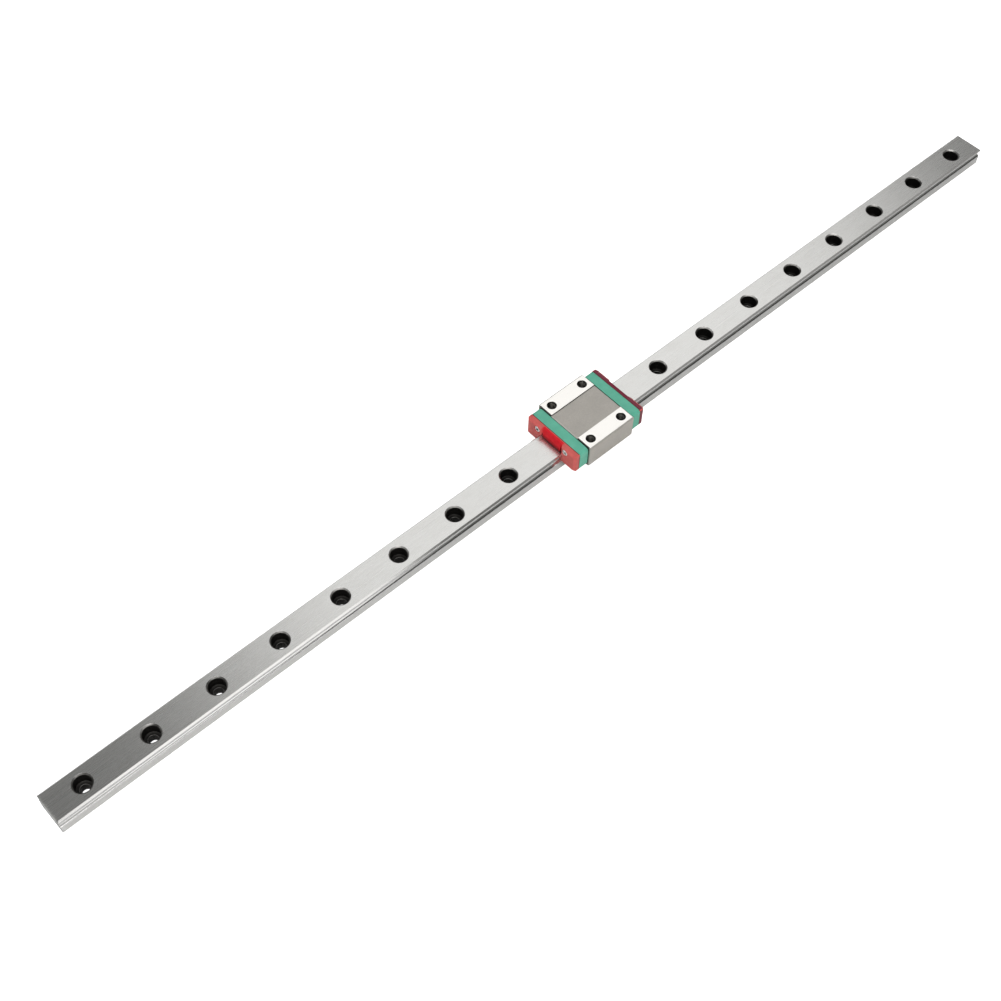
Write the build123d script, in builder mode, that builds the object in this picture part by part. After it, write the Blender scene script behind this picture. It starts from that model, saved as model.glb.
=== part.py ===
from build123d import *
from math import asin, cos, pi, radians, sin, sqrt
import os

# Miniature profile rail guide, size 12: a rail with one recirculating-ball carriage.
# Millimetres. X runs along the rail, Z is up, the origin is under the middle of the rail.
# "front" is the -X end of the carriage, "left" is the +Y side.

os.makedirs("parts", exist_ok=True)

# ---- rail ----
rail_length = 450.0
rail_width = 12.0
rail_height = 8.0
rail_pitch = 25.0  # bolt hole spacing
rail_holes = 18
rail_bore_d = 3.5
rail_cbore_d = 6.0
rail_cbore_depth = 4.5
rail_hole_chamfer = 0.5
rail_foot_chamfer = 0.65
rail_top_chamfer = 0.55
rail_end_chamfer = 0.5

# ---- ball circuit ----
ball_d = 2.381
ball_r = ball_d / 2
groove_y = 6.3  # centre line of the loaded ball row
groove_z = 5.65
groove_r = 1.25  # groove in the rail and in the block
relief_width = 0.7  # slot at the bottom of the rail's groove for the retainer wire
relief_y = 4.55
return_y = 10.2  # centre line of the return row
return_r = 1.3
turn_y = (groove_y + return_y) / 2
turn_r = (return_y - groove_y) / 2
turn_tube_r = 1.27
balls_per_side = 22

# ---- carriage block ----
block_length = 21.7
block_width = 27.0
block_bottom = 3.0
block_top = 13.0
block_top_chamfer = 0.55
block_foot_chamfer = 0.6
block_end_chamfer = 0.3
pad_inner_y = 6.8  # the two pads run from here outwards
recess_depth = 0.4
channel_y = 6.5
channel_top = 8.5
channel_corner = 0.5
bolt_x = 15.0  # M3 pattern
bolt_y = 20.0
bolt_r = 1.5
bolt_depth = 3.5
bolt_mouth_r = 1.85

# ---- end caps, backing plates and seals ----
cap_start = block_length / 2
cap_thickness = 4.15
cap_width = 25.2
cap_bottom = 3.4
cap_top = 12.4
cap_bevel = 0.8
cap_clearance = 0.4
tongue_r = 1.0  # rib of the cap that stands in the rail's groove
cap_inner_chamfer = 0.25
seal_start = cap_start + cap_thickness
seal_thickness = 2.35
seal_rim = 1.5  # thickness of the seal at its outline, outside the bevelled front
seal_width = 25.0
seal_bottom = 3.7
seal_top = 12.3
seal_corner_r = 0.7
seal_clearance = 0.1
seal_recess_y = 4.75  # half width of the recess at its floor
seal_recess_mouth_y = 5.6
seal_recess_top_depth = 0.95
seal_recess_foot_depth = 0.15
plate_start = seal_start  # the plate lies in a pocket in the seal's back
plate_thickness = 0.5
plate_width = 23.4
plate_bottom = 4.4
plate_top = 11.6
pocket_gap = 0.05

# ---- ball return guides ----
guide_r = 1.7
guide_half_height = 1.6
guide_gap = 0.05

# ---- ball retainer wires ----
wire_r = 0.2
wire_y = 4.83
wire_end_x = cap_start + 3.6
wire_end_y = 7.0
wire_bend_r = 0.6

# ---- cap screws ----
screw_y = 7.1
screw_z = 10.15
screw_head_r = 1.3
screw_head_height = 1.8
screw_head_round = 0.4
screw_shank_r = 0.78
screw_pilot_r = 0.8
screw_clearance_r = 0.95
screw_head_clearance_r = 1.4
screw_reach = 5.2  # how far the shank goes into the block
recess_slot_length = 1.6
recess_slot_width = 0.42
recess_slot_depth = 0.8

half = rail_length / 2
seal_end = seal_start + seal_thickness
seal_bevel = seal_thickness - seal_rim


def half_chord(r, distance):
    """Half of the chord that a circle of radius r has at this distance from its centre."""
    return sqrt(r**2 - distance**2)


# ------------------------------------------------------------------ rail
side = rail_width / 2
mouth_dz = half_chord(groove_r, groove_y - side)
slot_y = groove_y - half_chord(groove_r, relief_width / 2)
slot_low = groove_z - relief_width / 2
slot_high = groove_z + relief_width / 2
mid_y = groove_y - groove_r * cos(radians(40))
mid_dz = groove_r * sin(radians(40))

with BuildPart() as rail:
    with BuildSketch(Plane.YZ.offset(-half)):
        with BuildLine():
            Polyline(
                (0, 0),
                (side - rail_foot_chamfer, 0),
                (side, rail_foot_chamfer),
                (side, groove_z - mouth_dz),
            )
            ThreePointArc(
                (side, groove_z - mouth_dz), (mid_y, groove_z - mid_dz), (slot_y, slot_low)
            )
            Polyline(
                (slot_y, slot_low),
                (relief_y, slot_low),
                (relief_y, slot_high),
                (slot_y, slot_high),
            )
            ThreePointArc(
                (slot_y, slot_high), (mid_y, groove_z + mid_dz), (side, groove_z + mouth_dz)
            )
            Polyline(
                (side, groove_z + mouth_dz),
                (side, rail_height - rail_top_chamfer),
                (side - rail_top_chamfer, rail_height),
                (0, rail_height),
                (0, 0),
            )
        make_face()
        mirror(about=Plane.YZ)
    extrude(amount=rail_length)
    # the ends of the flat top and of the underside are broken
    chamfer(
        rail.edges().filter_by(Axis.Y).group_by(Axis.Z)[-1]
        + rail.edges().filter_by(Axis.Y).group_by(Axis.Z)[0],
        length=rail_end_chamfer,
    )
    with Locations(Plane.XY.offset(rail_height)):
        with GridLocations(rail_pitch, 1, rail_holes, 1):
            CounterBoreHole(
                radius=rail_bore_d / 2,
                counter_bore_radius=rail_cbore_d / 2,
                counter_bore_depth=rail_cbore_depth,
            )
    chamfer(
        rail.edges()
        .filter_by(GeomType.CIRCLE)
        .filter_by(lambda e: abs(e.radius - rail_cbore_d / 2) < 1e-3)
        .group_by(Axis.Z)[-1],
        length=rail_hole_chamfer,
    )

# ------------------------------------------------------------------ carriage block
channel_dz = half_chord(groove_r, channel_y - groove_y)

with BuildPart() as carriage_block:
    with BuildSketch(Plane.YZ.offset(-block_length / 2)):
        with BuildLine():
            Polyline(
                (0, channel_top),
                (channel_y - channel_corner, channel_top),
                (channel_y, channel_top - channel_corner),
                (channel_y, groove_z + channel_dz),
            )
            ThreePointArc(
                (channel_y, groove_z + channel_dz),
                (groove_y + groove_r, groove_z),
                (channel_y, groove_z - channel_dz),
            )
            Polyline(
                (channel_y, groove_z - channel_dz),
                (channel_y, block_bottom + 0.35),
                (channel_y + 0.35, block_bottom),
                (block_width / 2 - block_foot_chamfer, block_bottom),
                (block_width / 2, block_bottom + block_foot_chamfer),
                (block_width / 2, block_top - block_top_chamfer),
                (block_width / 2 - block_top_chamfer, block_top),
                (pad_inner_y, block_top),
                (pad_inner_y, block_top - recess_depth),
                (0, block_top - recess_depth),
                (0, channel_top),
            )
        make_face()
        mirror(about=Plane.YZ)
    extrude(amount=block_length)
    # the ends of the two pads and of the block's flanks are broken
    with BuildSketch(Plane.XZ.offset(-block_width / 2)):
        with BuildLine():
            Polyline(
                (block_length / 2 - block_end_chamfer, block_top),
                (block_length / 2, block_top - block_end_chamfer),
                (block_length / 2 + 1, block_top - block_end_chamfer),
                (block_length / 2 + 1, block_top + 1),
                (block_length / 2 - block_end_chamfer, block_top + 1),
                close=True,
            )
        make_face()
        mirror(about=Plane.YZ)
    extrude(amount=block_width, mode=Mode.SUBTRACT)
    with BuildSketch(Plane.XZ.offset(-pad_inner_y)):
        with BuildLine():
            Polyline(
                (block_length / 2 - block_end_chamfer, block_top - recess_depth),
                (block_length / 2, block_top - recess_depth - block_end_chamfer),
                (block_length / 2 + 1, block_top - recess_depth - block_end_chamfer),
                (block_length / 2 + 1, block_top - recess_depth + 0.1),
                (block_length / 2 - block_end_chamfer, block_top - recess_depth + 0.1),
                close=True,
            )
        make_face()
        mirror(about=Plane.YZ)
    extrude(amount=2 * pad_inner_y, mode=Mode.SUBTRACT)
    with BuildSketch(Plane.XY.offset(block_bottom)):
        with BuildLine():
            Polyline(
                (block_length / 2 - block_end_chamfer, block_width / 2),
                (block_length / 2, block_width / 2 - block_end_chamfer),
                (block_length / 2 + 1, block_width / 2 - block_end_chamfer),
                (block_length / 2 + 1, block_width / 2 + 1),
                (block_length / 2 - block_end_chamfer, block_width / 2 + 1),
                close=True,
            )
        make_face()
        mirror(about=Plane.YZ)
        mirror(about=Plane.XZ)
    extrude(amount=block_top - block_bottom, mode=Mode.SUBTRACT)
    # ball return bores, right through
    with BuildSketch(Plane.YZ.offset(-block_length / 2)):
        with Locations((return_y, groove_z), (-return_y, groove_z)):
            Circle(return_r)
    extrude(amount=block_length, mode=Mode.SUBTRACT)
    # blind pilot holes for the cap screws, from both ends
    with BuildSketch(Plane.YZ.offset(block_length / 2)):
        with Locations((screw_y, screw_z), (-screw_y, screw_z)):
            Circle(screw_pilot_r)
    extrude(amount=-(screw_reach + 0.5), mode=Mode.SUBTRACT)
    with BuildSketch(Plane.YZ.offset(-block_length / 2)):
        with Locations((screw_y, screw_z), (-screw_y, screw_z)):
            Circle(screw_pilot_r)
    extrude(amount=screw_reach + 0.5, mode=Mode.SUBTRACT)
    # M3 holes for the load, blind, with a countersunk mouth and a drill-point floor
    with Locations(Plane.XY.offset(block_top)):
        with GridLocations(bolt_x, bolt_y, 2, 2):
            CounterSinkHole(
                radius=bolt_r,
                counter_sink_radius=bolt_mouth_r,
                depth=bolt_depth,
                counter_sink_angle=90,
            )
    with Locations(Plane.XY.offset(block_top - bolt_depth)):
        with GridLocations(bolt_x, bolt_y, 2, 2):
            Cone(
                bottom_radius=0.15,
                top_radius=bolt_r,
                height=0.8,
                align=(Align.CENTER, Align.CENTER, Align.MAX),
                mode=Mode.SUBTRACT,
            )

# ------------------------------------------------------------------ rear end cap
with BuildPart() as end_cap_rear:
    with BuildSketch(Plane.YZ.offset(cap_start)) as cap_outline:
        with Locations((0, (cap_bottom + cap_top) / 2)):
            Rectangle(cap_width, cap_top - cap_bottom)
        chamfer(cap_outline.vertices().group_by(Axis.Z)[-1], length=cap_bevel)
        chamfer(cap_outline.vertices().group_by(Axis.Z)[0], length=0.4)
    extrude(amount=cap_thickness)
    # the edges next to the block and those of the outer face are broken
    chamfer(end_cap_rear.faces().sort_by(Axis.X)[0].edges(), length=cap_inner_chamfer)
    chamfer(end_cap_rear.faces().sort_by(Axis.X)[-1].edges(), length=0.15)
    with BuildSketch(Plane.YZ.offset(cap_start)) as cap_mouth:
        with BuildLine():
            Polyline(
                (0, cap_bottom - 1),
                (side + cap_clearance, cap_bottom - 1),
                (side + cap_clearance, rail_height - rail_top_chamfer + cap_clearance / 2),
                (side - rail_top_chamfer + cap_clearance / 2, rail_height + cap_clearance),
                (0, rail_height + cap_clearance),
                close=True,
            )
        make_face()
        # ribs left standing in the rail's grooves
        with Locations((groove_y, groove_z)):
            Circle(tongue_r, mode=Mode.SUBTRACT)
        mirror(about=Plane.YZ)
    extrude(amount=cap_thickness, mode=Mode.SUBTRACT)
    # ball turnarounds: half a torus each side, open towards the block
    with Locations(
        (cap_start, turn_y, groove_z), (cap_start, -turn_y, groove_z)
    ):
        Torus(turn_r, turn_tube_r, mode=Mode.SUBTRACT)
        Cylinder(
            guide_r + guide_gap, 2 * (guide_half_height + guide_gap), mode=Mode.SUBTRACT
        )
    # clearance holes for the cap screws
    with BuildSketch(Plane.YZ.offset(cap_start)):
        with Locations((screw_y, screw_z), (-screw_y, screw_z)):
            Circle(screw_clearance_r)
    extrude(amount=cap_thickness, mode=Mode.SUBTRACT)
    # slots in the outer face for the bent ends of the retainer wires
    with BuildSketch(Plane.YZ.offset(plate_start)):
        with Locations((4.4, groove_z)):
            Rectangle(2.8, 0.6, align=(Align.MIN, Align.CENTER))
        mirror(about=Plane.YZ)
    extrude(amount=-0.85, mode=Mode.SUBTRACT)

# ------------------------------------------------------------------ rear seal backing plate
with BuildPart() as seal_plate_rear:
    with BuildSketch(Plane.YZ.offset(plate_start)):
        with Locations((0, (plate_bottom + plate_top) / 2)):
            RectangleRounded(plate_width, plate_top - plate_bottom, 0.5)
        with BuildLine():
            Polyline(
                (-6.7, plate_bottom - 1),
                (-6.7, 7.9),
                (-5.9, 8.6),
                (5.9, 8.6),
                (6.7, 7.9),
                (6.7, plate_bottom - 1),
                close=True,
            )
        make_face(mode=Mode.SUBTRACT)
        with Locations((screw_y, screw_z), (-screw_y, screw_z)):
            Circle(screw_clearance_r, mode=Mode.SUBTRACT)
    extrude(amount=plate_thickness)

# ------------------------------------------------------------------ rear end seal
with BuildPart() as end_seal_rear:
    with BuildSketch(Plane.YZ.offset(seal_start)):
        with Locations((0, (seal_bottom + seal_top) / 2)):
            RectangleRounded(seal_width, seal_top - seal_bottom, seal_corner_r)
    extrude(amount=seal_rim)
    # the moulded front has a broad bevel all round
    with BuildSketch(Plane.YZ.offset(seal_start + seal_rim)):
        with Locations((0, (seal_bottom + seal_top) / 2)):
            RectangleRounded(seal_width, seal_top - seal_bottom, seal_corner_r)
    with BuildSketch(Plane.YZ.offset(seal_end)):
        with Locations((0, (seal_bottom + seal_top) / 2)):
            RectangleRounded(
                seal_width - 2 * seal_bevel,
                seal_top - seal_bottom - 2 * seal_bevel,
                seal_corner_r * 0.6,
            )
    loft(ruled=True)
    # pocket in the back for the steel plate
    with BuildSketch(Plane.YZ.offset(seal_start)):
        with Locations((0, (plate_bottom + plate_top) / 2)):
            RectangleRounded(
                plate_width + 2 * pocket_gap,
                plate_top - plate_bottom + 2 * pocket_gap,
                0.5,
            )
    extrude(amount=plate_thickness, mode=Mode.SUBTRACT)
    # recessed middle, whose floor comes forward to the wiping lip
    with BuildSketch(Plane.XZ.offset(-seal_recess_y)):
        with BuildLine():
            Polyline(
                (seal_end - seal_recess_top_depth, seal_top + 1),
                (seal_end - seal_recess_top_depth, seal_top),
                (seal_end - seal_recess_foot_depth, rail_height),
                (seal_end + 1, rail_height),
                (seal_end + 1, seal_top + 1),
                close=True,
            )
        make_face()
    extrude(amount=2 * seal_recess_y, mode=Mode.SUBTRACT)
    # its side walls slope
    with BuildSketch(Plane.XY.offset(rail_height)):
        with BuildLine():
            Polyline(
                (seal_end - seal_recess_top_depth, seal_recess_y - 0.3),
                (seal_end - seal_recess_top_depth, seal_recess_y),
                (seal_end, seal_recess_mouth_y),
                (seal_end + 1, seal_recess_mouth_y),
                (seal_end + 1, seal_recess_y - 0.3),
                close=True,
            )
        make_face()
        mirror(about=Plane.XZ)
    extrude(amount=seal_top - rail_height + 1, mode=Mode.SUBTRACT)
    # opening with a wiping lip that follows the rail's section
    with BuildSketch(Plane.YZ.offset(seal_start)):
        with BuildLine():
            Polyline(
                (0, seal_bottom - 1),
                (side + seal_clearance, seal_bottom - 1),
                (
                    side + seal_clearance,
                    rail_height - rail_top_chamfer + seal_clearance / 2,
                ),
                (
                    side - rail_top_chamfer + seal_clearance / 2,
                    rail_height + seal_clearance,
                ),
                (0, rail_height + seal_clearance),
                close=True,
            )
        make_face()
        with Locations((groove_y, groove_z)):
            Circle(groove_r - seal_clearance, mode=Mode.SUBTRACT)
        mirror(about=Plane.YZ)
    extrude(amount=seal_thickness, mode=Mode.SUBTRACT)
    # wells for the screw heads
    with BuildSketch(Plane.YZ.offset(seal_start)):
        with Locations((screw_y, screw_z), (-screw_y, screw_z)):
            Circle(screw_head_clearance_r)
    extrude(amount=seal_thickness, mode=Mode.SUBTRACT)

# ------------------------------------------------------------------ ball return guide, rear left
with BuildPart() as return_guide_rear_left:
    with Locations((cap_start + 0.02, turn_y, groove_z)):
        Cylinder(guide_r, 2 * guide_half_height)
    split(bisect_by=Plane.YZ.offset(cap_start + 0.02), keep=Keep.TOP)
    with Locations((cap_start, turn_y, groove_z)):
        Torus(turn_r, turn_tube_r, mode=Mode.SUBTRACT)

# ------------------------------------------------------------------ cap screw, rear left
head_start = plate_start + plate_thickness
with BuildPart() as cap_screw_rear_left:
    with BuildSketch(
        Plane(origin=(0, screw_y, screw_z), x_dir=(1, 0, 0), z_dir=(0, -1, 0))
    ):
        with BuildLine():
            Polyline(
                (cap_start - screw_reach, 0),
                (cap_start - screw_reach, screw_shank_r - 0.25),
                (cap_start - screw_reach + 0.25, screw_shank_r),
                (head_start, screw_shank_r),
                (head_start, screw_head_r),
                (head_start + screw_head_height - screw_head_round, screw_head_r),
            )
            ThreePointArc(
                (head_start + screw_head_height - screw_head_round, screw_head_r),
                (
                    head_start + screw_head_height - 0.293 * screw_head_round,
                    screw_head_r - 0.293 * screw_head_round,
                ),
                (head_start + screw_head_height, screw_head_r - screw_head_round),
            )
            Polyline(
                (head_start + screw_head_height, screw_head_r - screw_head_round),
                (head_start + screw_head_height, 0),
                (cap_start - screw_reach, 0),
            )
        make_face()
    revolve(
        axis=Axis((0, screw_y, screw_z), (1, 0, 0)),
    )
    # cross recess
    with BuildSketch(Plane.YZ.offset(head_start + screw_head_height)):
        with Locations((screw_y, screw_z)):
            Rectangle(recess_slot_length, recess_slot_width, rotation=45)
            Rectangle(recess_slot_length, recess_slot_width, rotation=-45)
    extrude(amount=-recess_slot_depth, mode=Mode.SUBTRACT)

# ------------------------------------------------------------------ balls
# The centres lie on a racetrack: two straight rows and a half turn at each end. They are spaced so
# that each centre is the same distance from the next, which closes the loop with no two in contact.
straight = 2 * cap_start
half_turn = pi * turn_r
circuit = 2 * (straight + half_turn)


def on_circuit(s):
    """Centre of a ball at path length s, in the plane of the circuit."""
    s = s % circuit
    if s < straight:
        return (-cap_start + s, groove_y)
    s -= straight
    if s < half_turn:
        a = s / turn_r
        return (cap_start + turn_r * sin(a), turn_y - turn_r * cos(a))
    s -= half_turn
    if s < straight:
        return (cap_start - s, return_y)
    a = (s - straight) / turn_r
    return (-cap_start - turn_r * sin(a), turn_y + turn_r * cos(a))


def next_ball(s, chord):
    """Path length of the first point beyond s that is this far from the point at s."""
    x0, y0 = on_circuit(s)
    low, high = s, s + 1.35 * chord
    for _ in range(60):
        mid = (low + high) / 2
        x, y = on_circuit(mid)
        if (x - x0) ** 2 + (y - y0) ** 2 < chord**2:
            low = mid
        else:
            high = mid
    return low


first_ball = 0.6
low, high = ball_d, circuit / balls_per_side
for _ in range(60):
    chord = (low + high) / 2
    s = first_ball
    for _ in range(balls_per_side):
        s = next_ball(s, chord)
    if s < first_ball + circuit:
        low = chord
    else:
        high = chord
ball_s = [first_ball]
for _ in range(balls_per_side - 1):
    ball_s.append(next_ball(ball_s[-1], low))
ball_centres = [on_circuit(s) for s in ball_s]
print("ball spacing", round(low, 4), "ball diameter", ball_d)

with BuildPart() as balls_left:
    with Locations(*[(x, y, groove_z) for x, y in ball_centres]):
        Sphere(ball_r)

# ------------------------------------------------------------------ ball retainer, left
with BuildPart() as ball_retainer_left:
    with BuildLine(Plane.XY.offset(groove_z)) as wire_path:
        FilletPolyline(
            (-wire_end_x, wire_end_y),
            (-wire_end_x, wire_y),
            (wire_end_x, wire_y),
            (wire_end_x, wire_end_y),
            radius=wire_bend_r,
        )
    with BuildSketch(
        Plane(
            origin=(-wire_end_x, wire_end_y, groove_z), x_dir=(1, 0, 0), z_dir=(0, -1, 0)
        )
    ):
        Circle(wire_r)
    sweep(path=wire_path.line)

# ------------------------------------------------------------------ the mirrored pieces
with BuildPart() as end_cap_front:
    mirror(end_cap_rear.part, about=Plane.YZ)
with BuildPart() as seal_plate_front:
    mirror(seal_plate_rear.part, about=Plane.YZ)
with BuildPart() as end_seal_front:
    mirror(end_seal_rear.part, about=Plane.YZ)

with BuildPart() as return_guide_rear_right:
    mirror(return_guide_rear_left.part, about=Plane.XZ)
with BuildPart() as return_guide_front_left:
    mirror(return_guide_rear_left.part, about=Plane.YZ)
with BuildPart() as return_guide_front_right:
    mirror(return_guide_front_left.part, about=Plane.XZ)

with BuildPart() as cap_screw_rear_right:
    mirror(cap_screw_rear_left.part, about=Plane.XZ)
with BuildPart() as cap_screw_front_left:
    mirror(cap_screw_rear_left.part, about=Plane.YZ)
with BuildPart() as cap_screw_front_right:
    mirror(cap_screw_front_left.part, about=Plane.XZ)

with BuildPart() as balls_right:
    mirror(balls_left.part, about=Plane.XZ)
with BuildPart() as ball_retainer_right:
    mirror(ball_retainer_left.part, about=Plane.XZ)

# ------------------------------------------------------------------ labels and files
rail.part.label = "rail"
export_step(rail.part, "parts/rail.step")
carriage_block.part.label = "carriage_block"
export_step(carriage_block.part, "parts/carriage_block.step")
end_cap_front.part.label = "end_cap_front"
export_step(end_cap_front.part, "parts/end_cap_front.step")
end_cap_rear.part.label = "end_cap_rear"
export_step(end_cap_rear.part, "parts/end_cap_rear.step")
seal_plate_front.part.label = "seal_plate_front"
export_step(seal_plate_front.part, "parts/seal_plate_front.step")
seal_plate_rear.part.label = "seal_plate_rear"
export_step(seal_plate_rear.part, "parts/seal_plate_rear.step")
end_seal_front.part.label = "end_seal_front"
export_step(end_seal_front.part, "parts/end_seal_front.step")
end_seal_rear.part.label = "end_seal_rear"
export_step(end_seal_rear.part, "parts/end_seal_rear.step")
return_guide_front_left.part.label = "return_guide_front_left"
export_step(return_guide_front_left.part, "parts/return_guide_front_left.step")
return_guide_front_right.part.label = "return_guide_front_right"
export_step(return_guide_front_right.part, "parts/return_guide_front_right.step")
return_guide_rear_left.part.label = "return_guide_rear_left"
export_step(return_guide_rear_left.part, "parts/return_guide_rear_left.step")
return_guide_rear_right.part.label = "return_guide_rear_right"
export_step(return_guide_rear_right.part, "parts/return_guide_rear_right.step")
cap_screw_front_left.part.label = "cap_screw_front_left"
export_step(cap_screw_front_left.part, "parts/cap_screw_front_left.step")
cap_screw_front_right.part.label = "cap_screw_front_right"
export_step(cap_screw_front_right.part, "parts/cap_screw_front_right.step")
cap_screw_rear_left.part.label = "cap_screw_rear_left"
export_step(cap_screw_rear_left.part, "parts/cap_screw_rear_left.step")
cap_screw_rear_right.part.label = "cap_screw_rear_right"
export_step(cap_screw_rear_right.part, "parts/cap_screw_rear_right.step")
balls_left.part.label = "balls_left"
export_step(balls_left.part, "parts/balls_left.step")
balls_right.part.label = "balls_right"
export_step(balls_right.part, "parts/balls_right.step")
ball_retainer_left.part.label = "ball_retainer_left"
export_step(ball_retainer_left.part, "parts/ball_retainer_left.step")
ball_retainer_right.part.label = "ball_retainer_right"
export_step(ball_retainer_right.part, "parts/ball_retainer_right.step")
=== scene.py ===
import math

import bmesh
import bpy
import numpy as np
from mathutils import Matrix, Vector


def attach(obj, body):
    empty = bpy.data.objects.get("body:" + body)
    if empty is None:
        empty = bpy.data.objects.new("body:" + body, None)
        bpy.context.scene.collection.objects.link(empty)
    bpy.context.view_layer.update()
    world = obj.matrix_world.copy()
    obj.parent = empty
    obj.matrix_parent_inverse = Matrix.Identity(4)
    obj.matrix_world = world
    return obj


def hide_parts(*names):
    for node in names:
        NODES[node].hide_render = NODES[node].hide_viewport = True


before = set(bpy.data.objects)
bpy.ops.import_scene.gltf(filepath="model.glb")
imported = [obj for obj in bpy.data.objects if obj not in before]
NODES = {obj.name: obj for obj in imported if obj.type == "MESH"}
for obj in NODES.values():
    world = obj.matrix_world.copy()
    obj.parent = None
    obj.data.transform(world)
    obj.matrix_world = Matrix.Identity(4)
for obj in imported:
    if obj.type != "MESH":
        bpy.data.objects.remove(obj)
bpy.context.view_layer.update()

MM = 0.001
scene = bpy.context.scene
scene.view_settings.view_transform = "Standard"
scene.view_settings.look = "None"
scene.view_settings.exposure = 0.0
scene.view_settings.gamma = 1.0

# ------------------------------------------------------------------ camera
cam_az, cam_el, cam_roll = math.radians(226.41), math.radians(54.73), math.radians(1.72)
cam_dist, cam_target = 0.5229, Vector((-0.0430, -0.0021, 0.0))
away = Vector(
    (
        math.cos(cam_el) * math.cos(cam_az),
        math.cos(cam_el) * math.sin(cam_az),
        math.sin(cam_el),
    )
)
ahead = -away
right = ahead.cross(Vector((0, 0, 1))).normalized()
up = right.cross(ahead)
right_r = math.cos(cam_roll) * right + math.sin(cam_roll) * up
up_r = -math.sin(cam_roll) * right + math.cos(cam_roll) * up
cam_data = bpy.data.cameras.new("camera")
cam_data.sensor_fit = "HORIZONTAL"
cam_data.sensor_width = 36.0
cam_data.lens = 53.33
cam_data.clip_start, cam_data.clip_end = 0.01, 20.0
cam = bpy.data.objects.new("camera", cam_data)
scene.collection.objects.link(cam)
m = Matrix.Identity(4)
for i in range(3):
    m[i][0], m[i][1], m[i][2] = right_r[i], up_r[i], away[i]
    m[i][3] = (cam_target + cam_dist * away)[i]
cam.matrix_world = m
scene.camera = cam


# ------------------------------------------------------------------ light
def aim(direction_az, direction_el, distance, target=(0, 0, 0)):
    """Matrix that stands at this direction from the target and faces it."""
    a, e = math.radians(direction_az), math.radians(direction_el)
    d = Vector((math.cos(e) * math.cos(a), math.cos(e) * math.sin(a), math.sin(e)))
    q = d.to_track_quat("Z", "Y")
    return Matrix.Translation(Vector(target) + d * distance) @ q.to_matrix().to_4x4()


def softbox(name, az, el, distance, size, radiance, colour=(1, 1, 1), size_y=None):
    light = bpy.data.lights.new(name, "AREA")
    light.shape = "RECTANGLE"
    light.size, light.size_y = size, size_y or size
    light.color = colour
    light.energy = radiance * math.pi * light.size * light.size_y
    o = bpy.data.objects.new(name, light)
    scene.collection.objects.link(o)
    o.matrix_world = aim(az, el, distance)
    return o


def direction(az, el):
    a, e = math.radians(az), math.radians(el)
    return Vector((math.cos(e) * math.cos(a), math.cos(e) * math.sin(a), math.sin(e)))


def long_softbox(name, end_a, end_b, distance, breadth, radiance, colour=(1, 1, 1)):
    """A rectangular light whose length runs between two directions, facing the object."""
    da, db = direction(*end_a), direction(*end_b)
    z = (da + db).normalized()
    x = (da - db).normalized()
    y = z.cross(x)
    light = bpy.data.lights.new(name, "AREA")
    light.shape = "RECTANGLE"
    light.size = 2 * distance * math.tan(da.angle(db) / 2)
    light.size_y = breadth
    light.color = colour
    light.energy = radiance * math.pi * light.size * light.size_y
    o = bpy.data.objects.new(name, light)
    scene.collection.objects.link(o)
    place = Matrix.Identity(4)
    for i in range(3):
        place[i][0], place[i][1], place[i][2] = x[i], y[i], z[i]
        place[i][3] = z[i] * distance
    o.matrix_world = place
    return o


long_softbox("key", (71.0, 63.5), (22.4, 36.4), 1.1, 0.50, 1.22, (1.0, 0.995, 0.985))
long_softbox("key_near", (84.5, 64.5), (68.0, 61.5), 1.12, 0.50, 0.72, (1.0, 0.995, 0.985))
softbox("side_strip", -87, 27, 1.1, 0.467, 1.32, (1.0, 0.995, 0.985), 0.92)
long_softbox("side_far", (-66, 26), (-29, 15.0), 1.1, 0.20, 0.27, (1.0, 0.995, 0.985))
softbox("front_fill", 232, 34, 1.25, 0.95, 2.6, (1.0, 0.99, 0.98), 0.60)
softbox("front_high", 232, 66, 1.25, 0.95, 3.9, (1.0, 0.995, 0.99), 0.60)
softbox("left_fill", 145, 38, 1.25, 0.85, 2.2, (0.98, 0.99, 1.0), 0.60)

# a soft studio surround, lighter near the horizon than overhead, and plain white where seen directly
world = bpy.data.worlds.new("studio")
scene.world = world
world.use_nodes = True
wn = world.node_tree
bg = wn.nodes["Background"]
bg.inputs["Color"].default_value = (1.0, 0.995, 0.965, 1)
w_tc = wn.nodes.new("ShaderNodeTexCoord")
w_sep = wn.nodes.new("ShaderNodeSeparateXYZ")
w_map = wn.nodes.new("ShaderNodeMapRange")
w_map.interpolation_type = "SMOOTHSTEP"
w_map.inputs["From Min"].default_value = 0.22
w_map.inputs["From Max"].default_value = 0.66
w_map.inputs["To Min"].default_value = 0.14
w_map.inputs["To Max"].default_value = 0.12
w_lp = wn.nodes.new("ShaderNodeLightPath")
w_mix = wn.nodes.new("ShaderNodeMix")
w_mix.data_type = "FLOAT"
wn.links.new(w_tc.outputs["Generated"], w_sep.inputs[0])
wn.links.new(w_sep.outputs[2], w_map.inputs["Value"])
wn.links.new(w_lp.outputs["Is Camera Ray"], w_mix.inputs[0])
wn.links.new(w_map.outputs[0], w_mix.inputs[2])
w_mix.inputs[3].default_value = 1.0
wn.links.new(w_mix.outputs[0], bg.inputs["Strength"])


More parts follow.
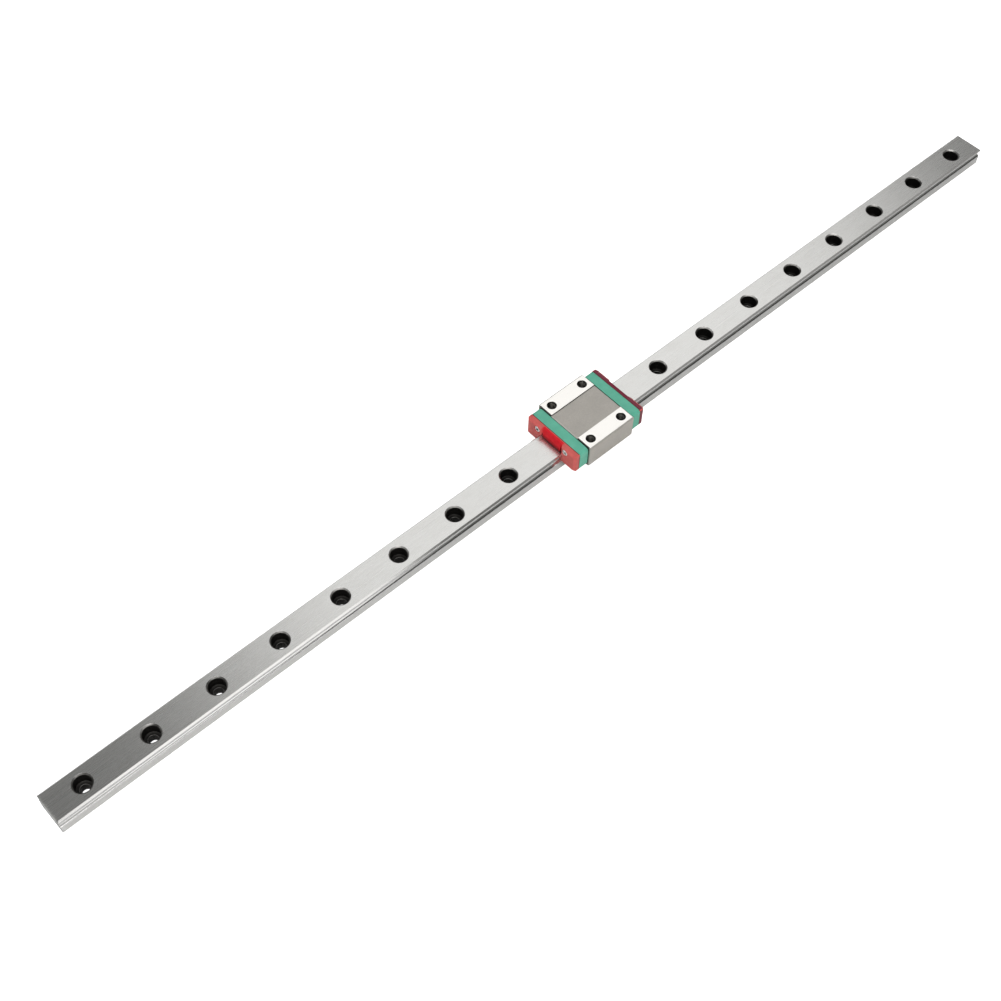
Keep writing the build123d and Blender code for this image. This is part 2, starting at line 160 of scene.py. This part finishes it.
# ------------------------------------------------------------------ node helpers
class Mat:
    """A small wrapper that builds a node material on object coordinates in millimetres."""

    def __init__(self, name):
        self.m = bpy.data.materials.new(name)
        self.m.use_nodes = True
        self.nt = self.m.node_tree
        self.bsdf = self.nt.nodes["Principled BSDF"]
        tc = self.nt.nodes.new("ShaderNodeTexCoord")
        sc = self.nt.nodes.new("ShaderNodeVectorMath")
        sc.operation = "SCALE"
        sc.inputs["Scale"].default_value = 1000.0
        self.nt.links.new(tc.outputs["Object"], sc.inputs[0])
        self.mm = sc.outputs[0]
        self._xyz = None

    def link(self, a, b):
        self.nt.links.new(a, b)

    def put(self, node_input, value):
        if isinstance(value, bpy.types.NodeSocket):
            self.link(value, node_input)
        else:
            node_input.default_value = value

    @property
    def xyz(self):
        if self._xyz is None:
            s = self.nt.nodes.new("ShaderNodeSeparateXYZ")
            self.link(self.mm, s.inputs[0])
            self._xyz = s.outputs
        return self._xyz

    def math(self, op, a, b=0.0, c=None, clamp=False):
        n = self.nt.nodes.new("ShaderNodeMath")
        n.operation = op
        n.use_clamp = clamp
        self.put(n.inputs[0], a)
        self.put(n.inputs[1], b)
        if c is not None:
            self.put(n.inputs[2], c)
        return n.outputs[0]

    def step(self, value, low, high):
        """0 below low, 1 above high, smooth between."""
        n = self.nt.nodes.new("ShaderNodeMapRange")
        n.interpolation_type = "SMOOTHSTEP"
        self.put(n.inputs["Value"], value)
        n.inputs["From Min"].default_value = low
        n.inputs["From Max"].default_value = high
        return n.outputs["Result"]

    def remap(self, value, a, b, c, d):
        n = self.nt.nodes.new("ShaderNodeMapRange")
        self.put(n.inputs["Value"], value)
        n.inputs["From Min"].default_value = a
        n.inputs["From Max"].default_value = b
        n.inputs["To Min"].default_value = c
        n.inputs["To Max"].default_value = d
        return n.outputs["Result"]

    def noise(self, scale=(1, 1, 1), detail=3.0, rough=0.55, distortion=0.0, offset=(0, 0, 0)):
        mp = self.nt.nodes.new("ShaderNodeMapping")
        self.link(self.mm, mp.inputs["Vector"])
        mp.inputs["Scale"].default_value = scale
        mp.inputs["Location"].default_value = offset
        n = self.nt.nodes.new("ShaderNodeTexNoise")
        n.inputs["Scale"].default_value = 1.0
        n.inputs["Detail"].default_value = detail
        n.inputs["Roughness"].default_value = rough
        n.inputs["Distortion"].default_value = distortion
        self.link(mp.outputs[0], n.inputs["Vector"])
        return n.outputs["Fac"]

    def mix(self, fac, a, b):
        n = self.nt.nodes.new("ShaderNodeMix")
        n.data_type = "RGBA"
        self.put(n.inputs[0], fac)
        self.put(n.inputs[6], a if isinstance(a, bpy.types.NodeSocket) else (*a, 1.0))
        self.put(n.inputs[7], b if isinstance(b, bpy.types.NodeSocket) else (*b, 1.0))
        return n.outputs[2]

    def mixf(self, fac, a, b):
        n = self.nt.nodes.new("ShaderNodeMix")
        n.data_type = "FLOAT"
        self.put(n.inputs[0], fac)
        self.put(n.inputs[2], a)
        self.put(n.inputs[3], b)
        return n.outputs[0]

    def bump(self, height, strength=0.3, distance=0.00002, normal=None):
        n = self.nt.nodes.new("ShaderNodeBump")
        n.inputs["Strength"].default_value = strength
        n.inputs["Distance"].default_value = distance
        self.put(n.inputs["Height"], height)
        if normal is not None:
            self.link(normal, n.inputs["Normal"])
        return n.outputs[0]

    def set(self, **kw):
        names = dict(
            color="Base Color",
            metallic="Metallic",
            roughness="Roughness",
            normal="Normal",
            spec="Specular IOR Level",
            aniso="Anisotropic",
            rot="Anisotropic Rotation",
            tangent="Tangent",
            ior="IOR",
            coat="Coat Weight",
            coat_rough="Coat Roughness",
            subsurface="Subsurface Weight",
        )
        for k, v in kw.items():
            if k == "color" and not isinstance(v, bpy.types.NodeSocket):
                v = (*v, 1.0)
            self.put(self.bsdf.inputs[names[k]], v)
        return self


# ------------------------------------------------------------------ floor
bpy.ops.mesh.primitive_plane_add(size=40, location=(0, 0, -0.00002))
floor = bpy.context.object
floor.name = "floor"
fm = bpy.data.materials.new("floor_white")
fm.use_nodes = True
nt = fm.node_tree
nt.nodes.clear()
out = nt.nodes.new("ShaderNodeOutputMaterial")
dif = nt.nodes.new("ShaderNodeBsdfDiffuse")
dif.inputs["Color"].default_value = (0.80, 0.80, 0.80, 1)
emi = nt.nodes.new("ShaderNodeEmission")
emi.inputs["Color"].default_value = (1, 1, 1, 1)
lp = nt.nodes.new("ShaderNodeLightPath")
mul = nt.nodes.new("ShaderNodeMath")
mul.operation = "MULTIPLY"
mul.inputs[1].default_value = 0.86
nt.links.new(lp.outputs["Is Camera Ray"], mul.inputs[0])
nt.links.new(mul.outputs[0], emi.inputs["Strength"])
add = nt.nodes.new("ShaderNodeAddShader")
nt.links.new(dif.outputs[0], add.inputs[0])
nt.links.new(emi.outputs[0], add.inputs[1])
nt.links.new(add.outputs[0], out.inputs["Surface"])
floor.data.materials.append(fm)


# ------------------------------------------------------------------ meshes
def new_piece(name, verts, faces, body, replaced=(), sharp=30.0):
    """A piece from millimetre vertices, shaded smooth except across its real edges."""
    mesh = bpy.data.meshes.new(name)
    mesh.from_pydata([(x * MM, y * MM, z * MM) for x, y, z in verts], [], faces)
    mesh.validate()
    bm = bmesh.new()
    bm.from_mesh(mesh)
    bmesh.ops.remove_doubles(bm, verts=bm.verts, dist=0.000001)
    bmesh.ops.recalc_face_normals(bm, faces=bm.faces)
    bm.to_mesh(mesh)
    bm.free()
    mesh.shade_smooth()
    mesh.set_sharp_from_angle(angle=math.radians(sharp))
    o = bpy.data.objects.new(name, mesh)
    scene.collection.objects.link(o)
    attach(o, body)
    if replaced:
        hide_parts(*replaced)
    return o


class Points:
    """Vertices by key, so that neighbouring patches share them."""

    def __init__(self):
        self.list, self.index, self.faces = [], {}, []

    def at(self, x, y, z):
        key = (round(x, 4), round(y, 4), round(z, 4))
        if key not in self.index:
            self.index[key] = len(self.list)
            self.list.append((x, y, z))
        return self.index[key]

    def face(self, *ids):
        clean = [v for i, v in enumerate(ids) if v != ids[i - 1]]
        if len(clean) > 2:
            self.faces.append(clean)


# The rail, ground and drilled: every hole is a ring of 96, and the top, the underside and both
# sides share one set of stations along the length, so the skin is closed and even.
RAYS = 96
CORNER = 6  # the ray that goes to a module's corner
PITCH, HOLES = 25.0, 18
TOP_Y, FOOT_Y, SIDE_Y = 5.45, 5.35, 6.0
RAIL_TOP, END_BREAK = 8.0, 0.5
GROOVE_Y, GROOVE_Z, GROOVE_R = 6.3, 5.65, 1.25
SLOT_HALF, SLOT_Y = 0.35, 4.55


def boundary(k, half_y):
    """Where ray k of a module meets the module's outline, as an offset from the hole's centre."""
    q = k % RAYS
    half_turn = RAYS // 2
    sx = 1 if q <= RAYS // 4 or q > 3 * RAYS // 4 else -1
    sy = 1 if q <= half_turn else -1
    a = q if q <= RAYS // 4 else (half_turn - q if q <= half_turn else (q - half_turn if q <= 3 * RAYS // 4 else RAYS - q))
    if a == 0:
        return sx * PITCH / 2, 0.0
    t = 2 * math.pi * a / RAYS
    if a < CORNER:
        return sx * PITCH / 2, sy * half_y * math.tan(t) / math.tan(2 * math.pi * CORNER / RAYS)
    if a == CORNER:
        return sx * PITCH / 2, sy * half_y
    return sx * TOP_Y / math.tan(t), sy * half_y


def profile(sy):
    """The rail's side from the foot to the top, as (y, z)."""
    mouth = math.sqrt(GROOVE_R**2 - (GROOVE_Y - SIDE_Y) ** 2)
    slot = math.sqrt(GROOVE_R**2 - SLOT_HALF**2)
    a0, a1 = math.atan2(mouth, GROOVE_Y - SIDE_Y), math.atan2(SLOT_HALF, slot)
    arc = [a0 + (a1 - a0) * i / 12 for i in range(13)]
    pts = [(FOOT_Y, 0.0), (FOOT_Y + END_BREAK, END_BREAK), (SIDE_Y, 0.65), (SIDE_Y, 2.6)]
    pts += [(GROOVE_Y - GROOVE_R * math.cos(a), GROOVE_Z - GROOVE_R * math.sin(a)) for a in arc]
    pts += [(SLOT_Y, GROOVE_Z - SLOT_HALF), (SLOT_Y, GROOVE_Z + SLOT_HALF)]
    pts += [(GROOVE_Y - GROOVE_R * math.cos(a), GROOVE_Z + GROOVE_R * math.sin(a)) for a in reversed(arc)]
    pts += [(SIDE_Y, 7.45), (TOP_Y + END_BREAK, RAIL_TOP - END_BREAK), (TOP_Y, RAIL_TOP)]
    return [(sy * y, z) for y, z in pts]


def build_rail():
    p = Points()
    half = PITCH * HOLES / 2

    def inset(x, z):
        """The ends are broken at the top and at the foot."""
        if abs(abs(x) - half) > 1e-6:
            return x
        cut = max(0.0, z - (RAIL_TOP - END_BREAK)) + max(0.0, END_BREAK - z)
        return math.copysign(half - cut, x)

    # (radius, z) down through a hole, with the small radii that a cutter leaves
    rings = [
        (3.5, 8.0), (3.25, 7.75), (3.0, 7.5), (3.0, 5.5), (3.0, 3.62), (2.965, 3.535),
        (2.88, 3.5), (2.35, 3.5), (1.83, 3.5), (1.75, 3.42), (1.75, 1.7), (1.75, 0.0),
    ]
    for h in range(HOLES):
        cx = (h - (HOLES - 1) / 2) * PITCH
        loops = []
        outer = []
        for k in range(RAYS):
            dx, dy = boundary(k, TOP_Y)
            outer.append(p.at(inset(cx + dx, RAIL_TOP), dy, RAIL_TOP))
        loops.append(outer)
        for r, z in rings:
            loops.append([
                p.at(cx + r * math.cos(2 * math.pi * k / RAYS), r * math.sin(2 * math.pi * k / RAYS), z)
                for k in range(RAYS)
            ])
        foot = []
        for k in range(RAYS):
            dx, dy = boundary(k, FOOT_Y)
            foot.append(p.at(inset(cx + dx, 0.0), dy, 0.0))
        loops.append(foot)
        for la, lb in zip(loops, loops[1:]):
            for k in range(RAYS):
                n = (k + 1) % RAYS
                p.face(la[k], la[n], lb[n], lb[k])
    # the sides, swept over the stations that the top and the underside have
    stations = []
    for h in range(HOLES):
        cx = (h - (HOLES - 1) / 2) * PITCH
        stations += [cx - boundary(k, TOP_Y)[0] for k in range(CORNER, RAYS // 2 - CORNER + 1)]
    stations = sorted({round(x, 5) for x in stations})
    for sy in (1, -1):
        side = profile(sy)
        for xa, xb in zip(stations, stations[1:]):
            for (ya, za), (yb, zb) in zip(side, side[1:]):
                p.face(
                    p.at(inset(xa, za), ya, za), p.at(inset(xb, za), ya, za),
                    p.at(inset(xb, zb), yb, zb), p.at(inset(xa, zb), yb, zb),
                )
    # the ends
    for sx in (1, -1):
        face = [p.at(sx * half, y, z) for y, z in profile(1) if END_BREAK - 1e-6 <= z <= RAIL_TOP - END_BREAK + 1e-6]
        face += [p.at(sx * half, y, z) for y, z in reversed(profile(-1)) if END_BREAK - 1e-6 <= z <= RAIL_TOP - END_BREAK + 1e-6]
        p.face(*face)
        for half_y, z_edge, z_face in ((TOP_Y, RAIL_TOP, RAIL_TOP - END_BREAK), (FOOT_Y, 0.0, END_BREAK)):
            edge = [boundary(k, half_y)[1] for k in range(-CORNER, CORNER + 1)]
            strip = [p.at(sx * (half - END_BREAK), y, z_edge) for y in edge]
            strip += [p.at(sx * half, y, z_face) for y in (half_y + END_BREAK, -half_y - END_BREAK)]
            p.face(*strip)
    return new_piece("rail_ground", p.list, p.faces, "rail", ["rail"])


# The M3 threads of the carriage's four bolt holes: closed sleeves whose inner skin is the helix.
def build_threads():
    p = Points()
    seg, per_turn, pitch = 64, 14, 0.5
    z_top, z_low, major, depth, back = 12.62, 9.52, 1.5, 0.25, 1.56
    rows = int(round((z_top - z_low) / pitch * per_turn))

    def flank(u):
        """Height of the thread's section over one pitch: crest, flank, root, flank."""
        u = u % 1.0
        if u < 0.14:
            return 1.0
        if u < 0.46:
            return 1.0 - (u - 0.14) / 0.32
        if u < 0.68:
            return 0.0
        return (u - 0.68) / 0.32

    for cx in (-7.5, 7.5):
        for cy in (-10.0, 10.0):
            grid = []
            for i in range(rows + 1):
                z = z_top + (z_low - z_top) * i / rows
                lead = min(1.0, i / (0.8 * per_turn))  # the thread fades in at the mouth
                row = []
                for k in range(seg):
                    t = 2 * math.pi * k / seg
                    r = major - 0.004 - depth * lead * flank(z / pitch - t / (2 * math.pi))
                    row.append(p.at(cx + r * math.cos(t), cy + r * math.sin(t), z))
                grid.append(row)
            for z in (z_low, z_top):
                grid.append([
                    p.at(cx + back * math.cos(2 * math.pi * k / seg), cy + back * math.sin(2 * math.pi * k / seg), z)
                    for k in range(seg)
                ])
            grid.append(grid[0])
            for la, lb in zip(grid, grid[1:]):
                for k in range(seg):
                    n = (k + 1) % seg
                    p.face(la[k], la[n], lb[n], lb[k])
    return new_piece("bolt_hole_threads", p.list, p.faces, "carriage", (), 34.0)


rail_piece = build_rail()
thread_piece = build_threads()


# ------------------------------------------------------------------ materials
def band(k, value, low, high, soft=0.03):
    """1 between low and high, 0 outside."""
    return k.math("MULTIPLY", k.step(value, low - soft, low + soft), k.math("SUBTRACT", 1.0, k.step(value, high - soft, high + soft)))


def rail_material():
    k = Mat("rail_ground_steel")
    x, y, z = k.xyz[0], k.xyz[1], k.xyz[2]
    ay = k.math("ABSOLUTE", y)
    lines = k.noise((0.035, 9.0, 9.0), 4.0, 0.6)
    broad = k.noise((0.012, 0.9, 0.9), 2.0, 0.5)
    blotch = k.noise((0.22, 0.3, 0.3), 3.0, 0.6)
    # how far from the nearest bolt hole's axis
    u = k.math("PINGPONG", k.math("ADD", x, 237.5), 12.5)
    rad = k.math("SQRT", k.math("ADD", k.math("MULTIPLY", u, u), k.math("MULTIPLY", y, y)))
    in_hole = k.math(
        "MULTIPLY",
        k.math("SUBTRACT", 1.0, k.step(rad, 3.47, 3.53)),
        k.math("SUBTRACT", 1.0, k.step(z, 7.95, 7.99)),
    )
    steel = k.mix(k.remap(lines, 0.3, 0.7, 0.0, 1.0), (0.625, 0.625, 0.615), (0.675, 0.675, 0.665))
    steel = k.mix(k.math("MULTIPLY", broad, 0.35), steel, (0.55, 0.55, 0.54))
    steel = k.mix(k.remap(blotch, 0.42, 0.72, 0.0, 0.16), steel, (0.50, 0.49, 0.47))
    # painted highlight: towards the -X end the lower sides are lighter, brightest in a line along the groove's lower
    # lip
    near = k.remap(x, -120.0, -60.0, 1.0, 0.0)
    flank = k.math("MULTIPLY", k.step(ay, 5.9, 5.98), k.math("SUBTRACT", 1.0, k.step(z, 4.42, 4.46)))
    steel = k.mix(k.math("MULTIPLY", near, k.math("MULTIPLY", flank, 0.25)), steel, (0.86, 0.86, 0.845))
    lip_highlight_line = k.math("MULTIPLY", flank, k.step(z, 4.02, 4.16))
    steel = k.mix(k.math("MULTIPLY", near, lip_highlight_line), steel, (0.97, 0.97, 0.96))
    # the ball grooves are hardened, polished and a little darker, with a painted reflection lightening them towards
    # the -X end; the relief slots get a painted shade, darker still
    gz = k.math("ABSOLUTE", k.math("SUBTRACT", z, 5.65))
    side = k.math("MULTIPLY", k.step(ay, 4.0, 4.3), k.math("SUBTRACT", 1.0, k.step(ay, 5.93, 5.99)))
    groove = k.math("MULTIPLY", side, k.math("SUBTRACT", 1.0, k.step(gz, 1.24, 1.28)))
    steel = k.mix(groove, steel, k.mix(near, (0.56, 0.56, 0.55), (0.66, 0.66, 0.65)))
    # a painted shade line just inside the groove's lower lip, strongest at the -X end
    groove_shade_line = k.math("MULTIPLY", band(k, z, 4.46, 4.72), side)
    steel = k.mix(k.math("MULTIPLY", groove_shade_line, k.remap(x, -215.0, -110.0, 1.0, 0.3)), steel, (0.14, 0.14, 0.137))
    # painted shade: the relief slot is near-black
    slot = k.math("MULTIPLY", k.math("SUBTRACT", 1.0, k.step(ay, 5.05, 5.12)), k.math("MULTIPLY", side, k.math("SUBTRACT", 1.0, k.step(gz, 0.35, 0.42))))
    steel = k.mix(slot, steel, (0.10, 0.10, 0.10))
    # the sawn ends are rougher; their colour darkens towards the foot
    end = k.step(k.math("ABSOLUTE", x), 224.88, 224.96)
    steel = k.mix(end, steel, k.mix(k.step(z, 2.0, 7.4), (0.13, 0.13, 0.128), (0.62, 0.62, 0.61)))
    # cutter marks round the bores, with painted shade making the bore near-black and its mouth chamfer dark grey
    ringed = k.math("MULTIPLY_ADD", k.math("SINE", k.math("MULTIPLY", k.math("ADD", rad, k.math("MULTIPLY", z, 1.0)), 34.0)), 0.5, 0.5)
    bore_marks_and_shade = k.mix(ringed, (0.030, 0.029, 0.027), (0.065, 0.063, 0.060))
    bore_marks_and_shade = k.mix(k.step(z, 7.5, 7.62), bore_marks_and_shade, k.mix(k.remap(blotch, 0.40, 0.60, 0.0, 1.0), (0.13, 0.128, 0.122), (0.40, 0.393, 0.38)))
    # painted highlight on the edge of the through-hole's seat
    seat_edge_highlight = k.math("MULTIPLY", k.step(z, 3.40, 3.46), k.math("SUBTRACT", 1.0, k.step(rad, 1.86, 1.92)))
    bore_marks_and_shade = k.mix(k.math("MULTIPLY", seat_edge_highlight, k.math("SUBTRACT", 1.0, k.step(z, 3.6, 3.7))), bore_marks_and_shade, (0.30, 0.295, 0.285))
    colour = k.mix(in_hole, steel, bore_marks_and_shade)
    # the chamfers and grooves are ground finer than the top
    finer = k.step(ay, 5.42, 5.50)
    rough = k.mixf(finer, k.remap(lines, 0.2, 0.8, 0.23, 0.33), k.remap(lines, 0.2, 0.8, 0.11, 0.17))
    rough = k.mixf(groove, rough, 0.15)
    rough = k.mixf(end, rough, 0.38)
    rough = k.mixf(in_hole, rough, 0.46)
    height = k.mixf(in_hole, lines, ringed)
    k.set(
        color=colour,
        metallic=1.0,
        roughness=rough,
        normal=k.bump(height, 0.055, 0.00002),
    )
    return k.m


def block_material():
    k = Mat("carriage_block_steel")
    x, y, z = k.xyz[0], k.xyz[1], k.xyz[2]
    ay = k.math("ABSOLUTE", y)
    grain = k.noise((2.2, 2.2, 2.2), 5.0, 0.65)
    cloud = k.noise((0.16, 0.22, 0.22), 3.0, 0.55)
    fine = k.noise((14, 14, 14), 3.0, 0.6)
    lines = k.noise((0.25, 16, 6), 3.0, 0.6)
    dx = k.math("SUBTRACT", k.math("ABSOLUTE", x), 7.5)
    dy = k.math("SUBTRACT", ay, 10.0)
    rad = k.math("SQRT", k.math("ADD", k.math("MULTIPLY", dx, dx), k.math("MULTIPLY", dy, dy)))
    hole = k.math(
        "MULTIPLY",
        k.math("SUBTRACT", 1.0, k.step(rad, 1.80, 1.86)),
        k.math("SUBTRACT", 1.0, k.step(z, 12.93, 12.97)),
    )
    pad = k.step(z, 12.96, 12.985)
    matt = k.mix(k.remap(grain, 0.35, 0.65, 0.0, 1.0), (0.53, 0.507, 0.470), (0.60, 0.573, 0.533))
    matt = k.mix(k.remap(cloud, 0.40, 0.70, 0.0, 0.35), matt, (0.465, 0.445, 0.415))
    bright = k.mix(k.remap(lines, 0.3, 0.7, 0.0, 1.0), (0.88, 0.86, 0.83), (0.95, 0.935, 0.905))
    colour = k.mix(pad, matt, bright)
    # painted shade in the corners at the foot of the pads, and on the end faces in the seam against the caps
    foot = k.math("SUBTRACT", 1.0, k.step(k.math("ABSOLUTE", k.math("SUBTRACT", ay, 6.8)), 0.10, 0.16))
    foot = k.math("MULTIPLY", foot, k.math("MULTIPLY", k.step(z, 12.45, 12.5), k.math("SUBTRACT", 1.0, pad)))
    ax = k.math("ABSOLUTE", x)
    ends = k.math("MAXIMUM", k.step(ax, 10.82, 10.85), k.math("MULTIPLY", k.step(ax, 10.56, 10.60), k.step(ay, 6.78, 6.82)))
    ends = k.math("MULTIPLY", ends, k.math("SUBTRACT", 1.0, k.math("MULTIPLY", k.step(ay, 12.55, 12.75), 0.75)))
    ends = k.math("MULTIPLY", ends, k.math("SUBTRACT", 1.0, k.step(ay, 13.1, 13.2)))
    colour = k.mix(k.math("MAXIMUM", foot, ends), colour, (0.085, 0.082, 0.078))
    # painted shade: the bolt holes are near-black
    colour = k.mix(hole, colour, (0.022, 0.021, 0.019))
    rough = k.mixf(pad, k.remap(fine, 0.3, 0.7, 0.46, 0.58), k.remap(lines, 0.3, 0.7, 0.27, 0.36))
    rough = k.mixf(hole, rough, 0.5)
    height = k.mixf(pad, k.math("ADD", k.math("MULTIPLY", fine, 0.6), k.math("MULTIPLY", lines, 0.4)), lines)
    k.set(
        color=colour,
        metallic=1.0,
        roughness=rough,
        normal=k.bump(height, 0.12, 0.00002),
    )
    return k.m


def thread_material():
    k = Mat("tapped_thread_steel")
    z = k.xyz[2]
    grit = k.noise((6, 6, 20), 4.0, 0.6)
    # painted shade: the thread is near-black, darkest deep in the hole
    deep = k.step(z, 10.6, 12.6)
    dark = k.mix(k.remap(grit, 0.3, 0.7, 0.0, 1.0), (0.020, 0.019, 0.017), (0.040, 0.038, 0.034))
    light = k.mix(k.remap(grit, 0.3, 0.7, 0.0, 1.0), (0.040, 0.038, 0.034), (0.075, 0.072, 0.066))
    k.set(
        color=k.mix(deep, dark, light),
        metallic=1.0,
        roughness=k.remap(grit, 0.3, 0.7, 0.30, 0.42),
        normal=k.bump(grit, 0.08, 0.00001),
    )
    return k.m


def plastic_material(name, dark, light, rough=(0.38, 0.5), bump=0.10, scale=3.0, seam=None):
    """Moulded plastic. seam is where, along the rail, a painted shade darkens it into the joint with its neighbour.
    """
    k = Mat(name)
    cloud = k.noise((0.35, 0.35, 0.35), 3.0, 0.5)
    pits = k.noise((scale * 2.4,) * 3, 4.0, 0.6)
    colour = k.mix(k.remap(cloud, 0.3, 0.7, 0.0, 1.0), dark, light)
    if seam:
        # painted shade in the joint, lighter on the flanks
        seam_shade = k.math("SUBTRACT", 1.0, k.step(k.math("ABSOLUTE", k.xyz[0]), *seam))
        flank = k.step(k.math("ABSOLUTE", k.xyz[1]), 12.45, 12.55)
        seam_shade = k.math("MULTIPLY", seam_shade, k.math("SUBTRACT", 1.0, k.math("MULTIPLY", flank, 0.7)))
        colour = k.mix(seam_shade, colour, tuple(0.12 * c for c in dark))
    k.set(
        color=colour,
        metallic=0.0,
        roughness=k.remap(pits, 0.3, 0.7, *rough),
        normal=k.bump(pits, bump, 0.00003),
        spec=0.4,
    )
    return k.m


def seal_material():
    """Moulded red polymer: the recessed middle deep red and glossy, with painted shade darkening it towards the
    rail; the outer lands paler with a painted sheen; painted shade on the rim.
    """
    k = Mat("seal_red_polymer")
    x, y, z = k.xyz[0], k.xyz[1], k.xyz[2]
    ax, ay = k.math("ABSOLUTE", x), k.math("ABSOLUTE", y)
    cloud = k.noise((0.5, 0.5, 0.5), 3.0, 0.5)
    pits = k.noise((8, 8, 8), 4.0, 0.6)
    # painted sheen: the outer lands are coloured paler than the middle
    face = k.mix(k.remap(cloud, 0.3, 0.7, 0.0, 1.0), (0.54, 0.085, 0.078), (0.62, 0.115, 0.10))
    deep = k.mix(k.remap(cloud, 0.3, 0.7, 0.0, 1.0), (0.60, 0.010, 0.018), (0.70, 0.018, 0.028))
    middle = k.math("SUBTRACT", 1.0, k.step(ay, 4.70, 5.55))
    middle = k.math("MULTIPLY", middle, k.step(ax, 15.4, 15.7))
    # painted shade: the middle darkens towards the rail
    deep = k.mix(k.step(z, 7.9, 10.4), (0.10, 0.004, 0.006), deep)
    colour = k.mix(middle, face, deep)
    # painted shade darkens the seam against the cap, and the rear seal's rim, in the carriage's shade
    outline = k.math("MAXIMUM", k.step(ay, 12.40, 12.46), k.step(z, 12.22, 12.27))
    seam = k.math("MULTIPLY", outline, k.math("SUBTRACT", 1.0, k.step(ax, 15.22, 15.32)))
    rim = k.math("MULTIPLY", outline, k.math("SUBTRACT", 1.0, k.step(ax, 16.42, 16.56)))
    colour = k.mix(k.math("MULTIPLY", rim, k.step(x, -1.0, 1.0)), colour, (0.17, 0.020, 0.040))
    colour = k.mix(seam, colour, (0.10, 0.015, 0.018))
    k.set(
        color=colour,
        metallic=0.0,
        roughness=k.mixf(middle, k.remap(pits, 0.3, 0.7, 0.42, 0.54), k.remap(pits, 0.3, 0.7, 0.36, 0.46)),
        normal=k.bump(pits, 0.10, 0.00003),
        spec=k.mixf(middle, 0.4, 0.10),
    )
    return k.m


def steel_material(name, dark, light, rough=(0.2, 0.3), scale=(4, 4, 4), bump=0.05):
    k = Mat(name)
    n = k.noise(scale, 3.0, 0.6)
    k.set(
        color=k.mix(k.remap(n, 0.3, 0.7, 0.0, 1.0), dark, light),
        metallic=1.0,
        roughness=k.remap(n, 0.3, 0.7, *rough),
        normal=k.bump(n, bump, 0.00001),
    )
    return k.m


def screw_material():
    """Bright steel, with painted shade in the cross recess."""
    k = Mat("screw_bright_steel")
    x, y, z = k.xyz[0], k.xyz[1], k.xyz[2]
    n = k.noise((4, 4, 4), 3.0, 0.6)
    dy = k.math("SUBTRACT", k.math("ABSOLUTE", y), 7.1)
    dz = k.math("SUBTRACT", z, 10.15)
    rad = k.math("SQRT", k.math("ADD", k.math("MULTIPLY", dy, dy), k.math("MULTIPLY", dz, dz)))
    ax = k.math("ABSOLUTE", x)
    recess = k.math(
        "MULTIPLY",
        k.math("SUBTRACT", 1.0, k.step(rad, 0.86, 0.90)),
        k.math("MULTIPLY", k.math("SUBTRACT", 1.0, k.step(ax, 17.22, 17.27)), k.step(ax, 16.2, 16.3)),
    )
    bright = k.mix(k.remap(n, 0.3, 0.7, 0.0, 1.0), (0.80, 0.80, 0.79), (0.90, 0.90, 0.89))
    k.set(
        color=k.mix(recess, bright, (0.05, 0.045, 0.045)),
        metallic=1.0,
        roughness=k.remap(n, 0.3, 0.7, 0.20, 0.30),
        normal=k.bump(n, 0.05, 0.00001),
    )
    return k.m


mats = {
    "rail": rail_material(),
    "block": block_material(),
    "thread": thread_material(),
    "cap": plastic_material("cap_green_plastic", (0.095, 0.405, 0.285), (0.125, 0.465, 0.335), seam=(11.05, 11.13)),
    "guide": plastic_material("guide_green_plastic", (0.08, 0.34, 0.22), (0.10, 0.40, 0.27)),
    "seal": seal_material(),
    "plate": steel_material("plate_stainless", (0.60, 0.60, 0.60), (0.70, 0.70, 0.70), (0.28, 0.38), (1, 12, 1)),
    "screw": screw_material(),
    "ball": steel_material("ball_polished_steel", (0.80, 0.80, 0.81), (0.86, 0.86, 0.87), (0.05, 0.09), (2, 2, 2), 0.01),
    "wire": steel_material("wire_drawn_steel", (0.66, 0.66, 0.66), (0.76, 0.76, 0.76), (0.22, 0.32), (0.5, 9, 9)),
}
MATERIAL_OF = {
    "carriage_block": "block",
    "end_cap": "cap",
    "seal_plate": "plate",
    "end_seal": "seal",
    "cap_screw": "screw",
    "return_guide": "guide",
    "balls": "ball",
    "ball_retainer": "wire",
    "rail": "rail",
}
for name, node in NODES.items():
    key = next(v for k, v in MATERIAL_OF.items() if name.startswith(k))
    for s in node.material_slots:
        s.material = mats[key]
rail_piece.data.materials.append(mats["rail"])
thread_piece.data.materials.append(mats["thread"])
